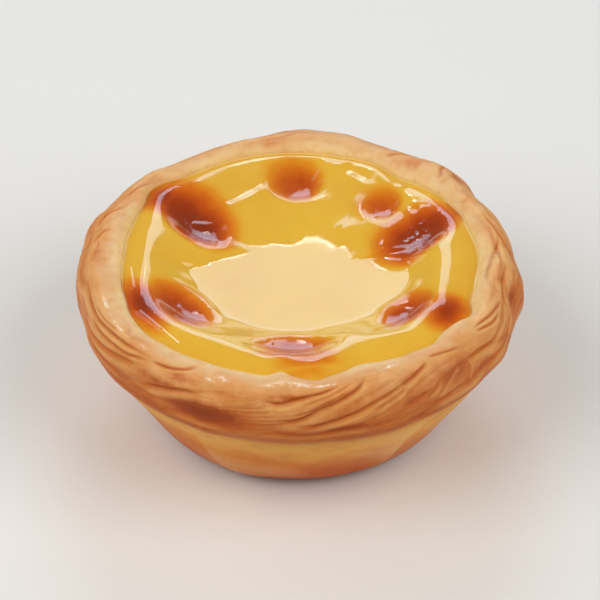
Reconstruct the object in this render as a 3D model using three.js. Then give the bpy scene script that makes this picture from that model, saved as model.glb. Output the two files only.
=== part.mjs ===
// A Portuguese custard tart: a laminated pastry shell with a rolled rim, filled with baked custard.
// Millimetres, +Z up. The origin is the middle of the flat base, and angle 0 is the front (-Y),
// growing towards +X. Each sub-part is one closed faceted solid made of rings round the Z axis.
import * as THREE from 'three';

// Driving dimensions of the shell's section
const BASE_FLAT_RADIUS = 22.2; // the flat face that the tart stands on
const BASE_CORNER = 8.3; // radius of the round corner between base and wall
const WALL_SLOPE = 0.563; // outward run of the wall for each millimetre of height
const WALL_FOOT_RADIUS = 27.1; // where the wall's line meets the base plane
const GROOVE_HEIGHT = 21.2; // the crease under the rolled rim
const RIM_RADIUS = 40.2; // the widest part of the rim
const RIM_WIDEST_HEIGHT = 23.8;
const CREST_RADIUS = 34.6; // the top of the rim
const CREST_HEIGHT = 31.9;
const FLOOR_THICKNESS = 3.2; // of the pastry under the custard

// How much farther out the rim's top lies: [angle, millimetres]
const CREST_SHIFTS = [
  [-180, 0],
  [-130, 0.4],
  [-95, 1.4],
  [-60, 2],
  [-20, 1.9],
  [5, 1.8],
  [27, 0.8],
  [50, 0.7],
  [90, 0.8],
  [140, 0.4],
  [180, 0],
];

// The custard
const CUSTARD_RADIUS = 32.4;
const CUSTARD_EDGE_HEIGHT = 30.1;
const BASIN_HEIGHT = 27.5; // the sunken middle
const BASIN_CUP = 0.25; // how much the middle rises if it ran out to the edge
const BASIN_ROUNDING = 0.25;
const MENISCUS = 0.2; // how far the custard climbs the crust at its edge

// Places on the rim are an angle and a nominal distance from the custard's edge over the rim:
// 0 to 3 is the lip, 3 to 14 the outer face, and what follows is the underside
const LIP_LENGTH = 3;
const FACE_LENGTH = 11;
const MM_PER_DEGREE = 0.68; // round the rim's face

// The rolled layers of the rim
const STRAND_PITCH = 2.6;
const STRAND_HEIGHT = 0.55;

// Resolution
const SEGMENTS = 144;
const LIP_ROWS = 2;
const FACE_ROWS = 14;
const UNDER_ROWS = 3;
const WALL_ROWS = 2;
const CORNER_ROWS = 3;
const CUSTARD_ROWS = [0.97, 0.93, 0.89, 0.85, 0.81, 0.77, 0.72, 0.67, 0.61, 0.54, 0.45, 0.32, 0.16];

// Where the rim leans out or in: [angle, half width, outward, upward], degrees and millimetres
const RIM_LOBES = [
  [177, 13, 2.0, 0.3],
  [134, 9, 1.6, 0.2],
  [119, 6, -0.9, 0],
  [97, 6, -0.4, 0.2],
  [84, 5, 0.4, 0],
  [75, 6, -0.5, 0],
  [58, 8, 0.2, -0.3],
  [22, 12, 0.2, 0.2],
  [-20, 12, 0.1, -0.2],
  [-74, 7, -0.5, 0.2],
  [-96, 6, -0.2, -0.2],
  [-107, 4, 0.8, 0.1],
  [-116, 6, -0.6, 0],
  [-147, 16, -1.2, -0.2],
];

// Where the custard's edge bulges out or in: [angle, half width, outward]
const EDGE_WAVES = [
  [-128, 8, 1.9],
  [-92, 13, -0.8],
  [-52, 16, 1.3],
  [-5.5, 3, -1.4],
  [5, 4, 1.0],
  [20, 6, -1.3],
  [43, 5, 0.8],
  [62, 5, 1.5],
  [141, 8, -1.3],
];

// How steeply the strands run down the rim's face towards +X: [angle, slope]
const STRAND_SLOPES = [
  [-180, 0.05],
  [-150, 0.2],
  [-115, 0.35],
  [-88, 0.1],
  [-66, -0.12],
  [-45, -0.28],
  [-15, -0.2],
  [10, -0.42],
  [40, -0.4],
  [50, 0],
  [62, 0.12],
  [74, -0.4],
  [90, -0.2],
  [115, -0.25],
  [140, 0.1],
  [180, 0.05],
];

// The main folds between layers: half width, depth, and places along them as [angle, distance]
const FOLDS = [
  { width: 1.2, depth: 0.7, places: [[-85, 8.5], [-71, 8.5], [-56, 7.9], [-40, 6.7]] },
  { width: 1.2, depth: 0.7, places: [[-73, 11.6], [-66, 12], [-58, 11.4], [-44, 9.4]] },
  { width: 1.2, depth: 0.55, places: [[-84, 11], [-67, 13.4], [-47, 13]] },
  { width: 1.2, depth: 0.6, places: [[-42, 7.3], [-36, 6.7], [-28, 3.8]] },
  { width: 1.2, depth: 0.7, places: [[-43, 12], [-37, 10.9], [-24, 9.1]] },
  { width: 1.4, depth: 0.65, places: [[-10, 8.2], [-5, 9.1], [0, 8], [12, 5.2]] },
  { width: 1.3, depth: 0.75, places: [[-7, 11.6], [-1, 11.6], [11, 8.6], [19, 4.2]] },
  { width: 1.2, depth: 0.65, places: [[-3, 12.4], [4, 12.5], [18, 10.1], [29, 7.8]] },
  { width: 1.2, depth: 0.6, places: [[-12, 13.4], [8, 13.9], [35, 13.2]] },
  { width: 1.2, depth: 0.6, places: [[26, 8.6], [31, 7.5], [37, 5.7]] },
  { width: 1.2, depth: 0.45, places: [[18, 11.2], [29, 8.9]] },
  { width: 1.2, depth: 0.8, places: [[33, 13.8], [40, 12.9], [48, 12.7], [57, 12]] },
  { width: 1.2, depth: 0.8, places: [[46, 8.4], [52, 9.2], [59, 9.6], [69, 7.5]] },
  { width: 1.2, depth: 0.45, places: [[37, 4.7], [49, 6.2]] },
  { width: 1.2, depth: 0.7, places: [[50, 12.8], [60, 12.3], [69, 11.4], [78, 6.9]] },
  { width: 1.2, depth: 0.45, places: [[94, 9], [102, 8.4], [112, 6.6]] },
  { width: 1.2, depth: 0.35, places: [[-98, 6.2], [-93, 5.4], [-87, 6.3]] },
  { width: 1.2, depth: 0.45, places: [[98, 5.6], [94, 4.4], [87, 2.8], [75, 3.2]] },
  { width: 1.2, depth: 0.45, places: [[55, 5.4], [61, 5], [71, 7.2]] },
  { width: 1.2, depth: 0.4, places: [[110, 4], [103, 4.8], [92, 7.6]] },
  { width: 1.2, depth: 0.35, places: [[87, 5], [80, 5.8], [70, 8.9]] },
  { width: 1.2, depth: 0.35, places: [[-117, 5.2], [-121, 4.2], [-129, 1.2]] },
  { width: 1.2, depth: 0.35, places: [[-102, 6.8], [-106, 5.8], [-114, 2.8]] },
  { width: 1.2, depth: 0.35, places: [[151, 2.2], [148, 4.6], [144, 6.5]] },
  { width: 1.2, depth: 0.35, places: [[129, 2.2], [133, 4.6], [134, 7.3]] },
];

// Hollows of the rim: [angle, distance, half sizes round and down the rim, depth]
const HOLLOWS = [
  [-24, 12, 7.5, 1.7, 0.35],
  [-37, 10.1, 5.5, 1.2, 0.2],
  [-86, 4.6, 3, 1.2, 0.1],
  [-96, 5.6, 2.6, 1.5, 0.12],
  [128, 6, 3, 1.8, 0.2],
  [92, 4.2, 2.5, 1.1, 0.25],
  [79, 5.5, 2, 1.4, 0.25],
  [78, 10.2, 2.7, 2.2, 0.8],
];

// The share of the custard's radius where its ring stands highest: [angle, share]
const RING_SHARES = [
  [-180, 0.945],
  [-159, 0.945],
  [-125, 0.885],
  [-95, 0.87],
  [-69, 0.87],
  [-53, 0.86],
  [-30, 0.84],
  [-5, 0.885],
  [11, 0.86],
  [27, 0.81],
  [49, 0.85],
  [64, 0.83],
  [95, 0.82],
  [110, 0.87],
  [125, 0.91],
  [136, 0.885],
  [154, 0.945],
  [166, 0.945],
  [180, 0.945],
];

// How much it stands above the edge, as a share of its way to it: [angle, share]
const RING_LIFTS = [
  [-180, 0.3],
  [-142, 0.3],
  [-128, 0.16],
  [-30, 0.16],
  [-8, 0.25],
  [10, 0.25],
  [28, 0.16],
  [136, 0.16],
  [146, 0.3],
  [180, 0.3],
];

// How round the ring's top is, as a share of its way to the edge: [angle, share]
const RING_ROUNDINGS = [
  [-180, 0.25],
  [-140, 0.25],
  [-127, 0.5],
  [-118, 0.45],
  [-109, 0.2],
  [-96, 0.2],
  [-82, 0.4],
  [-68, 0.4],
  [-50, 0.24],
  [-8, 0.24],
  [6, 0.4],
  [12, 0.9],
  [22, 0.9],
  [30, 0.15],
  [42, 0.08],
  [54, 0.35],
  [95, 0.55],
  [112, 0.9],
  [134, 1],
  [146, 0.12],
  [155, 0.35],
  [167, 0.3],
  [180, 0.25],
];

// How far from the axis the sunken middle begins to rise: [angle, radius]
const BASIN_RADII = [
  [-180, 8],
  [-168, 7.6],
  [-143, 9.4],
  [-125, 12],
  [-112, 13.6],
  [-104, 14.8],
  [-98, 16.4],
  [-91, 19.6],
  [-77, 18.3],
  [-58, 17.3],
  [-38, 17.2],
  [-20, 17.2],
  [0, 16.8],
  [15, 16.7],
  [35, 17],
  [49, 17.2],
  [71, 19.3],
  [84, 20],
  [92, 19.8],
  [99, 18.6],
  [104, 16],
  [108, 11.6],
  [112, 10.4],
  [122, 10.6],
  [135, 11.8],
  [147, 10.6],
  [160, 9.8],
  [171, 9.3],
  [180, 8],
];

// The seven caramelised dents: place, half sizes across and along the radius, turn of those, depth, how
// steeply the bottom rises and towards which angle, how flat it is, and the height of its inner lip
const DENTS = [
  {
    angle: -125.7, radius: 23.6, across: 4.6, along: 7.8, turn: -16,
    depth: 1.5, slope: 0.2, rise: -142, flat: 3.2, lip: 0.35,
  },
  {
    angle: -178.4, radius: 24.4, across: 4.9, along: 5.1, turn: 0,
    depth: 1.3, slope: 0.24, rise: -132, flat: 3, lip: 0.35,
  },
  {
    angle: 138.7, radius: 22.8, across: 3.9, along: 3.9, turn: 0,
    depth: 1, slope: 0.18, rise: -150, flat: 3, lip: 0.08,
  },
  {
    angle: 111.6, radius: 23.2, across: 4.3, along: 7, turn: 22,
    depth: 1.4, slope: 0.12, rise: 150, flat: 3.2, lip: 0.35,
  },
  {
    angle: 56, radius: 22.4, across: 5.4, along: 2.9, turn: -4,
    depth: 1, slope: 0.1, rise: 175, flat: 2.4, lip: 0.3,
  },
  {
    angle: -3, radius: 22.3, across: 6, along: 2.9, turn: 4,
    depth: 0.8, slope: 0.09, rise: -34, flat: 2.4, lip: 0.25,
  },
  {
    angle: -61, radius: 23.4, across: 6.8, along: 3.7, turn: 14,
    depth: 1.2, slope: 0.2, rise: -108, flat: 2.4, lip: 0.35,
  },
];

const DEGREE = Math.PI / 180;

function smoothstep(low, high, x) {
  const t = Math.min(1, Math.max(0, (x - low) / (high - low)));
  return t * t * (3 - 2 * t);
}

// A repeatable draw from 0 to 1 for a lattice point.
function draw(i, j) {
  const x = Math.sin(i * 127.1 + j * 311.7) * 43758.5453;
  return x - Math.floor(x);
}

// Smooth noise from -1 to 1 that repeats every `period` cells of u.
function noise(u, v, period) {
  const i = Math.floor(u);
  const j = Math.floor(v);
  const a = smoothstep(0, 1, u - i);
  const b = smoothstep(0, 1, v - j);
  const wrap = (k) => ((k % period) + period) % period;
  const low = draw(wrap(i), j) * (1 - a) + draw(wrap(i + 1), j) * a;
  const high = draw(wrap(i), j + 1) * (1 - a) + draw(wrap(i + 1), j + 1) * a;
  return 2 * (low * (1 - b) + high * b) - 1;
}

// Noise round the tart, with cells about `cell` millimetres long at the rim.
function roundNoise(angle, across, cell) {
  const period = Math.round((360 * DEGREE * RIM_RADIUS) / cell);
  return noise((angle / 360) * period, across, period);
}

// The shortest way from one angle to another, in degrees.
function turnBetween(a, b) {
  return ((((a - b) % 360) + 540) % 360) - 180;
}

// The sum of smooth bumps listed as [angle, half width, ...heights].
function bumps(list, angle, column) {
  let sum = 0;
  for (const bump of list) {
    const t = turnBetween(angle, bump[0]) / bump[1];
    sum += bump[column] * Math.exp(-t * t);
  }
  return sum;
}

// A value that changes smoothly between the angles that a list of [angle, value] names.
function valueAt(list, angle) {
  for (let k = 0; k + 1 < list.length; k += 1) {
    const [from, low] = list[k];
    const [to, high] = list[k + 1];
    if (angle <= to) {
      return low + (high - low) * smoothstep(from, to, angle);
    }
  }
  return list[0][1];
}

// How far the strands have moved down the rim's face at each segment, back to none after a whole turn.
function strandShifts() {
  const shifts = [0];
  const step = 360 / SEGMENTS;
  for (let i = 0; i < SEGMENTS; i += 1) {
    shifts.push(shifts[i] + valueAt(STRAND_SLOPES, -180 + (i + 0.5) * step) * step * MM_PER_DEGREE);
  }
  return shifts.map((shift, i) => shift - (shifts[SEGMENTS] * i) / SEGMENTS);
}

const SHIFTS = strandShifts();

// The rounded strands on the rim's face, at a segment and a distance over the rim.
function strandRelief(i, angle, distance) {
  const level = distance * (0.55 + distance / 26) - SHIFTS[i];
  const wander = 0.5 * roundNoise(angle, level / 3, 12) + 0.2 * roundNoise(angle, level / 1.7 + 40, 5);
  const strand = Math.abs(Math.sin(Math.PI * (level / STRAND_PITCH + wander)));
  const strength = Math.min(1, Math.max(0, 0.45 + 0.9 * roundNoise(angle, level / STRAND_PITCH + 80, 13)));
  return STRAND_HEIGHT * (strand - 0.64) * strength;
}

// The nearest place of a fold: how far it is in millimetres, and its share of the way along the fold.
function nearestOnFold(fold, angle, distance) {
  let nearest = { gap: Infinity, along: 0 };
  const stretches = fold.places.length - 1;
  for (let k = 0; k < stretches; k += 1) {
    const [[angleA, distanceA], [angleB, distanceB]] = [fold.places[k], fold.places[k + 1]];
    const start = new THREE.Vector2(turnBetween(angleA, angle) * MM_PER_DEGREE, distanceA - distance);
    const run = new THREE.Vector2((angleB - angleA) * MM_PER_DEGREE, distanceB - distanceA);
    const t = Math.min(1, Math.max(0, -start.dot(run) / run.lengthSq()));
    const gap = start.addScaledVector(run, t).length();
    if (gap < nearest.gap) {
      nearest = { gap, along: (k + t) / stretches };
    }
  }
  return nearest;
}

// The relief of the folds, and how much of the strands they leave.
function foldRelief(angle, distance) {
  let relief = 0;
  let free = 1;
  for (const fold of FOLDS) {
    const { gap, along } = nearestOnFold(fold, angle, distance);
    const u = gap / fold.width;
    const fade = smoothstep(0, 0.25, along) * (1 - smoothstep(0.75, 1, along));
    relief += fold.depth * fade * (0.3 * Math.exp(-Math.pow((u - 2) / 0.9, 2)) - Math.exp(-u * u));
    free = Math.min(free, 1 - 0.75 * fade * Math.exp(-Math.pow(u / 2.5, 2)));
  }
  return { relief, free };
}

function hollowRelief(angle, distance) {
  let relief = 0;
  for (const [middle, place, across, along, depth] of HOLLOWS) {
    const x = (turnBetween(angle, middle) * MM_PER_DEGREE) / across;
    const s = (distance - place) / along;
    relief -= depth * Math.exp(-x * x - s * s);
  }
  return relief;
}

function custardEdge(angle) {
  return {
    r: CUSTARD_RADIUS + bumps(EDGE_WAVES, angle, 2),
    z: CUSTARD_EDGE_HEIGHT + 0.2 * roundNoise(angle, 3.5, 22),
  };
}

// The section of the shell's outside at one angle, from the custard's edge to the base, as points with
// the outward normal there. Those of the rim have a nominal distance over the rim, and how much relief
// of the rim and of its strands they take. Those of the wall have how much of its lumps they take.
function outerSection(angle) {
  const edge = custardEdge(angle);
  let lean = bumps(RIM_LOBES, angle, 2) + 0.35 * roundNoise(angle, 9.5, 14);
  lean += 0.34 * roundNoise(angle, 19.5, 5.5);
  let lift = bumps(RIM_LOBES, angle, 3) + 0.3 * roundNoise(angle, 5.5, 11);
  lift += 0.28 * roundNoise(angle, 29.5, 5);
  const shift = valueAt(CREST_SHIFTS, angle);
  const crest = { r: CREST_RADIUS + shift + 0.5 * (lean + edge.r - CUSTARD_RADIUS), z: CREST_HEIGHT + lift };
  const widest = { r: RIM_RADIUS + lean, z: RIM_WIDEST_HEIGHT + 0.5 * lift };
  const groove = { r: WALL_FOOT_RADIUS + WALL_SLOPE * GROOVE_HEIGHT + 0.25 * lean, z: GROOVE_HEIGHT };
  const points = [];
  const quarter = (centre, width, height, from, to, rows, place) => {
    for (let k = 1; k <= rows; k += 1) {
      const t = from + ((to - from) * k) / rows;
      const [c, s] = [Math.cos(t * DEGREE), Math.sin(t * DEGREE)];
      const normal = new THREE.Vector2(c / width, s / height).normalize();
      points.push({ r: centre.r + width * c, z: centre.z + height * s, normal, ...place(k / rows) });
    }
  };
  const lipCentre = { r: crest.r, z: edge.z };
  quarter(lipCentre, crest.r - edge.r, crest.z - edge.z, 180, 90, LIP_ROWS, (t) => ({
    distance: (LIP_LENGTH + shift) * t,
    rim: smoothstep(0.15, 1, t),
    strands: 0,
  }));
  const faceCentre = { r: crest.r, z: widest.z };
  quarter(faceCentre, widest.r - crest.r, crest.z - widest.z, 90, 0, FACE_ROWS, (t) => ({
    distance: LIP_LENGTH + shift + (FACE_LENGTH - shift) * t,
    rim: 1,
    strands: smoothstep(0.12, 0.5, t) * (1 - 0.65 * smoothstep(0.7, 1, t)),
  }));
  const underCentre = { r: groove.r - 0.3, z: widest.z };
  quarter(underCentre, widest.r - underCentre.r, widest.z - groove.z, 0, -75, UNDER_ROWS, (t) => ({
    distance: LIP_LENGTH + FACE_LENGTH + 4.8 * t,
    rim: 1 - smoothstep(0.6, 1.2, t),
    strands: 0.35 * (1 - smoothstep(0.2, 0.9, t)),
  }));

  // the wall runs down from the groove to a round corner that ends on the flat base
  const steep = Math.atan2(1, WALL_SLOPE);
  const wallNormal = new THREE.Vector2(Math.sin(steep), -Math.cos(steep));
  const cornerCentre = { r: BASE_FLAT_RADIUS, z: BASE_CORNER };
  const top = { r: groove.r - 0.1, z: groove.z - 0.5 };
  const bottom = {
    r: cornerCentre.r + BASE_CORNER * wallNormal.x,
    z: cornerCentre.z + BASE_CORNER * wallNormal.y,
  };
  for (let k = 0; k < WALL_ROWS; k += 1) {
    const t = k / WALL_ROWS;
    points.push({
      r: top.r + (bottom.r - top.r) * t,
      z: top.z + (bottom.z - top.z) * t,
      normal: wallNormal,
      wall: smoothstep(-0.3, 0.5, t),
    });
  }
  const startAngle = Math.atan2(wallNormal.y, wallNormal.x);
  for (let k = 0; k <= CORNER_ROWS; k += 1) {
    const t = startAngle + ((-Math.PI / 2 - startAngle) * k) / CORNER_ROWS;
    const normal = new THREE.Vector2(Math.cos(t), Math.sin(t));
    points.push({
      r: cornerCentre.r + BASE_CORNER * normal.x,
      z: cornerCentre.z + BASE_CORNER * normal.y,
      normal,
      wall: 1 - smoothstep(0, 0.8, k / CORNER_ROWS),
    });
  }
  return points;
}

// Moves a point along its normal by the relief of folds, hollows, strands and lumps.
function relieved(point, i, angle) {
  let out = 0;
  if (point.rim) {
    const folds = foldRelief(angle, point.distance);
    const swell = 0.18 * roundNoise(angle, point.distance / 3.5, 9);
    out += point.rim * (folds.relief + hollowRelief(angle, point.distance) + swell);
    out += point.strands * folds.free * strandRelief(i, angle, point.distance);
  }
  if (point.wall) {
    out += point.wall * 0.3 * roundNoise(angle + point.z, point.z / 7, 16);
  }
  return { r: point.r + out * point.normal.x, z: point.z + out * point.normal.y };
}

// The face that custard and pastry share, from the edge of the floor up to the custard's edge.
function sharedSection(angle) {
  const edge = custardEdge(angle);
  return [
    { r: 23.5, z: FLOOR_THICKNESS },
    { r: 27.5, z: FLOOR_THICKNESS + 4 },
    { r: 34.4, z: 21 },
    { r: edge.r + 0.5, z: edge.z - 1.2 },
    { r: edge.r, z: edge.z },
  ];
}

// The custard's top before its dents: a ring that falls to its edge and to a sunken middle.
function ringHeight(angle, r) {
  const edge = custardEdge(angle);
  const crestR = edge.r * valueAt(RING_SHARES, angle);
  const outside = edge.r - crestR;
  const crestZ = edge.z + valueAt(RING_LIFTS, angle) * outside;
  const rounding = Math.max(valueAt(RING_ROUNDINGS, angle) * outside, 0.8);
  const bent = (distance) => Math.hypot(distance, rounding) - rounding;
  const inwardFall = (crestZ - BASIN_HEIGHT) / bent(crestR - valueAt(BASIN_RADII, angle));
  const outwardFall = (crestZ + MENISCUS - edge.z) / bent(outside);
  const ring = crestZ - (r < crestR ? inwardFall : outwardFall) * bent(r - crestR);
  const floor = BASIN_HEIGHT + BASIN_CUP * Math.pow(r / CUSTARD_RADIUS, 2);
  const top = (ring + floor + Math.hypot(ring - floor, BASIN_ROUNDING)) / 2;
  return top + MENISCUS * Math.exp((r - edge.r) / 0.4);
}

// The height after one dent, whose bottom is a plane, at a point of the custard.
function dented(dent, x, y, z) {
  const middle = dent.angle * DEGREE;
  const [cx, cy] = [dent.radius * Math.sin(middle), -dent.radius * Math.cos(middle)];
  const turned = middle + dent.turn * DEGREE;
  const along = (x - cx) * Math.sin(turned) - (y - cy) * Math.cos(turned);
  const across = (x - cx) * Math.cos(turned) + (y - cy) * Math.sin(turned);
  const reach = Math.hypot(along / dent.along, across / dent.across);
  const inward = Math.max(0, -along / (dent.along * Math.max(reach, 0.001)));
  const lip = dent.lip * Math.exp(-Math.pow((reach - 1.1) / 0.25, 2)) * inward;
  const rise = dent.rise * DEGREE;
  const level = ringHeight(dent.angle, dent.radius);
  const bottom = level - dent.depth + dent.slope * ((x - cx) * Math.sin(rise) - (y - cy) * Math.cos(rise));
  return z + Math.exp(-1.1 * Math.pow(reach, dent.flat)) * (bottom - z) + lip;
}

function custardHeight(angle, r) {
  const x = r * Math.sin(angle * DEGREE);
  const y = -r * Math.cos(angle * DEGREE);
  const inside = 1 - smoothstep(0.88, 1, r / custardEdge(angle).r);
  let z = ringHeight(angle, r);
  for (const dent of DENTS) {
    z += inside * (dented(dent, x, y, z) - z);
  }
  return z;
}

function custardSection(angle) {
  const edge = custardEdge(angle);
  return CUSTARD_ROWS.map((share) => ({ r: edge.r * share, z: custardHeight(angle, edge.r * share) }));
}

// Sews sections, one for each segment, into a closed solid that starts and ends at a point on the axis.
// Each patch is split along the diagonal that rises less, so slanting folds stay smooth.
function solidOfSections(sections, startHeight, endHeight, inward) {
  const rows = sections[0].length;
  const positions = [0, 0, startHeight];
  sections.forEach((section, i) => {
    const angle = (-180 + (i * 360) / SEGMENTS) * DEGREE;
    for (const point of section) {
      positions.push(point.r * Math.sin(angle), -point.r * Math.cos(angle), point.z);
    }
  });
  positions.push(0, 0, endHeight);
  const last = positions.length / 3 - 1;
  const vertex = (i, k) => 1 + (i % SEGMENTS) * rows + k;
  const triangles = [];
  const add = (a, b, c) => triangles.push(...(inward ? [a, c, b] : [a, b, c]));
  const apart = (a, b) => Math.hypot(a.r - b.r, a.z - b.z);
  for (let i = 0; i < SEGMENTS; i += 1) {
    add(0, vertex(i, 0), vertex(i + 1, 0));
    const [here, next] = [sections[i], sections[(i + 1) % SEGMENTS]];
    for (let k = 0; k + 1 < rows; k += 1) {
      const [a, b, c, d] = [vertex(i, k), vertex(i, k + 1), vertex(i + 1, k + 1), vertex(i + 1, k)];
      if (apart(here[k], next[k + 1]) < apart(here[k + 1], next[k])) {
        add(a, b, c);
        add(a, c, d);
      } else {
        add(a, b, d);
        add(b, c, d);
      }
    }
    add(vertex(i, rows - 1), last, vertex(i + 1, rows - 1));
  }
  const geometry = new THREE.BufferGeometry();
  geometry.setAttribute('position', new THREE.Float32BufferAttribute(positions, 3));
  geometry.setIndex(triangles);
  geometry.computeVertexNormals();
  return geometry;
}

function sectionsRound(makeSection) {
  const sections = [];
  for (let i = 0; i < SEGMENTS; i += 1) {
    sections.push(makeSection(i, -180 + (i * 360) / SEGMENTS));
  }
  return sections;
}

function pastryShell() {
  const sections = sectionsRound((i, angle) => [
    ...sharedSection(angle),
    ...outerSection(angle).map((point) => relieved(point, i, angle)),
  ]);
  const material = new THREE.MeshStandardMaterial({ color: 0xd2904e, roughness: 0.55, metalness: 0 });
  const mesh = new THREE.Mesh(solidOfSections(sections, FLOOR_THICKNESS, 0, false), material);
  mesh.name = 'pastry_shell';
  return mesh;
}

function custard() {
  const sections = sectionsRound((i, angle) => [...sharedSection(angle), ...custardSection(angle)]);
  const top = custardHeight(0, 0);
  const material = new THREE.MeshStandardMaterial({ color: 0xe6b04a, roughness: 0.2, metalness: 0 });
  const mesh = new THREE.Mesh(solidOfSections(sections, FLOOR_THICKNESS, top, true), material);
  mesh.name = 'custard';
  return mesh;
}

const tart = new THREE.Group();
tart.add(pastryShell(), custard());

export default tart;
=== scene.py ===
"""A Portuguese custard tart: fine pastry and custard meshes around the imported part, on a pale studio floor.

Sizes are millimetres until a mesh is made. Angle 0 is the front (-Y), and angles grow towards +X, as in the
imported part.
"""

import math

import bpy
import numpy as np
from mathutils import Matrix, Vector


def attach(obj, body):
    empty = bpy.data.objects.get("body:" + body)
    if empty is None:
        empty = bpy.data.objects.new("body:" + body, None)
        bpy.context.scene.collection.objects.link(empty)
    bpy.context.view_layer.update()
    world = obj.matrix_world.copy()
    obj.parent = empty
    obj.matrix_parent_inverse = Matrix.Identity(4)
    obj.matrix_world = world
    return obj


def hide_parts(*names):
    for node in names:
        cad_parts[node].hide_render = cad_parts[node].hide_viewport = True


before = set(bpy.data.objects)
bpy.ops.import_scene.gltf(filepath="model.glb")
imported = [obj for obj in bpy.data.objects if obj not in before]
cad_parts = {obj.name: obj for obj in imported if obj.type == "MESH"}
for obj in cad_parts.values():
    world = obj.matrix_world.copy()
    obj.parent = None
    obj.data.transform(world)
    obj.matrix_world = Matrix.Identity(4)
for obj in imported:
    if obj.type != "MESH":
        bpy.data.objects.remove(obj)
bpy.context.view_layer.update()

MM = 0.001

# Section of the shell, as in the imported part
BASE_FLAT_RADIUS = 22.2  # the flat face that the tart stands on
BASE_CORNER = 8.3  # radius of the round corner between base and wall
WALL_SLOPE = 0.563  # outward run of the wall for each millimetre of height
WALL_FOOT_RADIUS = 27.1  # where the wall's line meets the base plane
GROOVE_HEIGHT = 21.2  # the crease under the rolled rim
RIM_RADIUS = 40.2  # the widest part of the rim
RIM_WIDEST_HEIGHT = 23.8
CREST_RADIUS = 34.6  # the top of the rim
CREST_HEIGHT = 31.9
UNDER_INSET = 0.3  # from the groove in to the middle of the underside's curve
UNDER_END_ANGLE = -75  # on that curve, which starts at 0
WALL_TOP_INSET = 0.1  # from the groove in to the top of the straight wall
WALL_TOP_DROP = 0.5
# How much farther out the rim's crest lies, by angle
CREST_SHIFTS = [
    (-180, 0.0), (-130, 0.4), (-95, 1.4), (-60, 2.0), (-20, 1.9), (5, 1.8), (27, 0.8), (50, 0.7),
    (90, 0.8), (140, 0.4), (180, 0.0),
]
# The hidden face between custard and crust: radius and height, from the floor up
FLOOR_THICKNESS = 3.2
INNER_FACE = [(23.5, FLOOR_THICKNESS), (27.5, 7.2), (34.4, 21.0)]
# Its top, outside and below the custard's edge
INNER_TOP_OUT = 0.05
INNER_TOP_DROP = 1.2

# The custard
CUSTARD_RADIUS = 32.4
CUSTARD_EDGE_HEIGHT = 30.1
BASIN_HEIGHT = 27.5  # the sunken middle
BASIN_CUP = 0.25  # how much the middle would rise if it ran out to the edge
LEAST_ROUNDING = 0.45  # of its ring's top
MENISCUS = 0.22  # how far it climbs the crust at its edge
MENISCUS_LENGTH = 0.5
WOBBLE_HEIGHT = 0.05
FINE_WOBBLE_HEIGHT = 0.012
SKIRT_SHARE = 1.012  # how far it goes on into the crust, as a share of its radius
SKIRT_RISE = 0.22
GAP_BESIDE = 0.2  # between the hidden sides of custard and crust
GAP_UNDER = 0.1

# Resolution of the fine meshes
CRUST_SEGMENTS = 1000
CUSTARD_SEGMENTS = 900
LIP_ROWS = 12
FACE_ROWS = 54
UNDER_ROWS = 8
WALL_ROWS = 12
CORNER_ROWS = 6
# Stretches of the custard's radius: its share at the start and the end, and how many rows
CUSTARD_ROWS = [(SKIRT_SHARE, 0.9, 30), (0.89, 0.3, 54), (0.28, 0.03, 12)]

# Places on the rim are an angle and a nominal distance from the custard's edge over the rim, in millimetres:
# 0 to 3 is the lip, 3 to 14 the outer face and 14 to 19 the underside. Where the crest is shifted outwards,
# the lip is longer and the face shorter by as much.
LIP_LENGTH = 3.0
FACE_LENGTH = 11.0
UNDER_LENGTH = 12.0  # for a whole unit of the underside, which is only 0.4 of a unit
MM_PER_DEGREE = 0.68  # round the rim
WALL_MM_PER_DEGREE = 0.6  # round the wall

# How far down the crust a point lies: 0 to 1 is the lip, 1 to 2 the outer face, and then these
UNDER_END = 2.4
WALL_START = 2.5
CORNER_START = 3.0
CORNER_END = 3.8

# Where the rim leans out or in: angle, half width, outward, upward
RIM_LOBES = [
    (177, 13, 2.0, 0.3), (134, 9, 1.6, 0.2), (119, 6, -0.9, 0), (97, 6, -0.4, 0.2),
    (84, 5, 0.4, 0), (75, 6, -0.5, 0), (58, 8, 0.2, -0.3), (22, 12, 0.2, 0.2),
    (-20, 12, 0.1, -0.2), (-74, 7, -0.5, 0.2), (-96, 6, -0.2, -0.2),
    (-107, 4, 0.8, 0.1), (-116, 6, -0.6, 0), (-147, 16, -1.2, -0.2),
]

# Where the custard's edge bulges out or in: angle, half width, outward
EDGE_WAVES = [
    (-128, 8, 1.9), (-92, 13, -0.8), (-52, 16, 1.3), (-5.5, 3, -1.4), (5, 4, 1.0), (20, 6, -1.3),
    (43, 5, 0.8), (62, 5, 1.5), (141, 8, -1.3),
]

# Unevenness by chance: height, row of the noise, length of a cell
LEAN_NOISE = [(0.35, 9.5, 14), (0.34, 19.5, 5.5)]
LIFT_NOISE = [(0.3, 5.5, 11), (0.28, 29.5, 5)]
EDGE_RADIUS_NOISE = [(0.22, 61.5, 4)]
EDGE_HEIGHT_NOISE = [(0.2, 3.5, 22)]

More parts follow.
